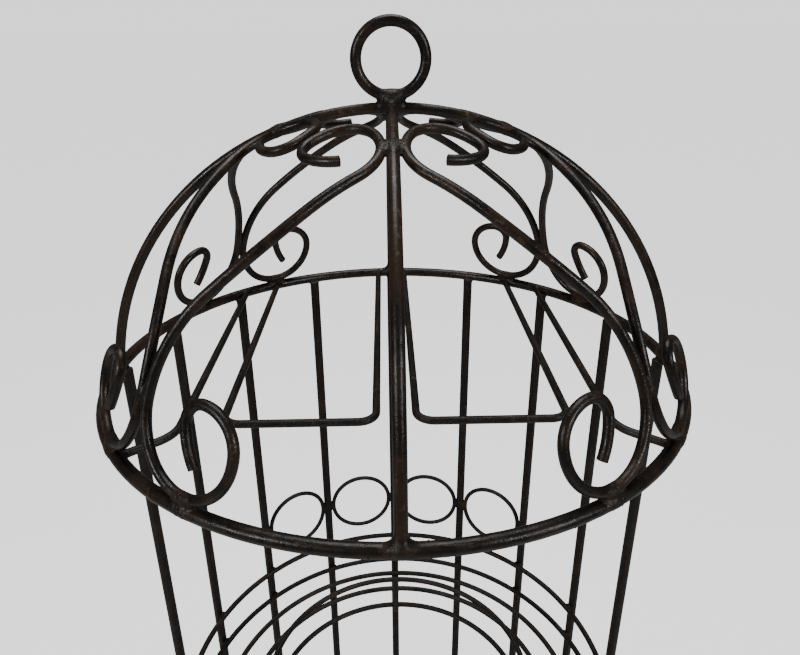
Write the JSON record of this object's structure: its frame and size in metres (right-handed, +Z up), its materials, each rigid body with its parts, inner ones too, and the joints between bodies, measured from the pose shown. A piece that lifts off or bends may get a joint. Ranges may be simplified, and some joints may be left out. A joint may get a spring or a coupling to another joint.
{
  "type": "birdcage bar stand",
  "caption": "Domed bird-cage stand of welded iron rod: scrolled dome, rails that hold hanging stemmed glasses, ring-shaped bottle shelf with open well, round floor and curved legs.",
  "frame": {"origin": "on the floor, on the upright axis of the cage, at the centre of the footprint", "axes": "+Z up along the cage axis, +X to the right as seen from the open front, +Y to the back; the open front faces -Y"},
  "size_m": [0.4654, 0.4654, 1.4456],
  "materials": {
    "painted_iron": "worn satin black with brown rust at the welds"
  },
  "bodies": {
    "root": {"back_rib": "painted_iron", "band_circle_1": "painted_iron", "band_circle_2": "painted_iron", "band_circle_3": "painted_iron", "band_circle_4": "painted_iron", "base_ring": "painted_iron", "cage_bar_1": "painted_iron", "cage_bar_2": "painted_iron", "cage_bar_3": "painted_iron", "cage_bar_4": "painted_iron", "cage_bar_5": "painted_iron", "cage_bar_6": "painted_iron", "cage_bar_7": "painted_iron", "cage_bar_8": "painted_iron", "cage_bar_9": "painted_iron", "dome_rim": "painted_iron", "finial_collar": "painted_iron", "finial_ring": "painted_iron", "floor_back_rod": "painted_iron", "floor_cross_rod": "painted_iron", "floor_front_post": "painted_iron", "floor_front_rod": "painted_iron", "floor_guard_hoop": "painted_iron", "floor_ring_1": "painted_iron", "floor_ring_2": "painted_iron", "floor_ring_3": "painted_iron", "floor_ring_4": "painted_iron", "floor_ring_5": "painted_iron", "floor_ring_6": "painted_iron", "foot_pads": "painted_iron", "front_rib": "painted_iron", "glass_rail_left_loop": "painted_iron", "glass_rail_left_side": "painted_iron", "glass_rail_right_loop": "painted_iron", "glass_rail_right_side": "painted_iron", "leg_back_left": "painted_iron", "leg_back_right": "painted_iron", "leg_front_left": "painted_iron", "leg_front_right": "painted_iron", "leg_tie_ring": "painted_iron", "scroll_back_left_on_back_rib": "painted_iron", "scroll_back_left_on_left_rib": "painted_iron", "scroll_back_right_on_back_rib": "painted_iron", "scroll_back_right_on_right_rib": "painted_iron", "scroll_front_left_on_front_rib": "painted_iron", "scroll_front_left_on_left_rib": "painted_iron", "scroll_front_right_on_front_rib": "painted_iron", "scroll_front_right_on_right_rib": "painted_iron", "shelf_bracket_back": "painted_iron", "shelf_bracket_front": "painted_iron", "shelf_bracket_left": "painted_iron", "shelf_bracket_right": "painted_iron", "shelf_guard_hoop": "painted_iron", "shelf_hoop": "painted_iron", "shelf_ring_1": "painted_iron", "shelf_ring_2": "painted_iron", "side_rib": "painted_iron", "well_guard_ring": "painted_iron", "well_ring": "painted_iron"}
  },
  "joints": []
}
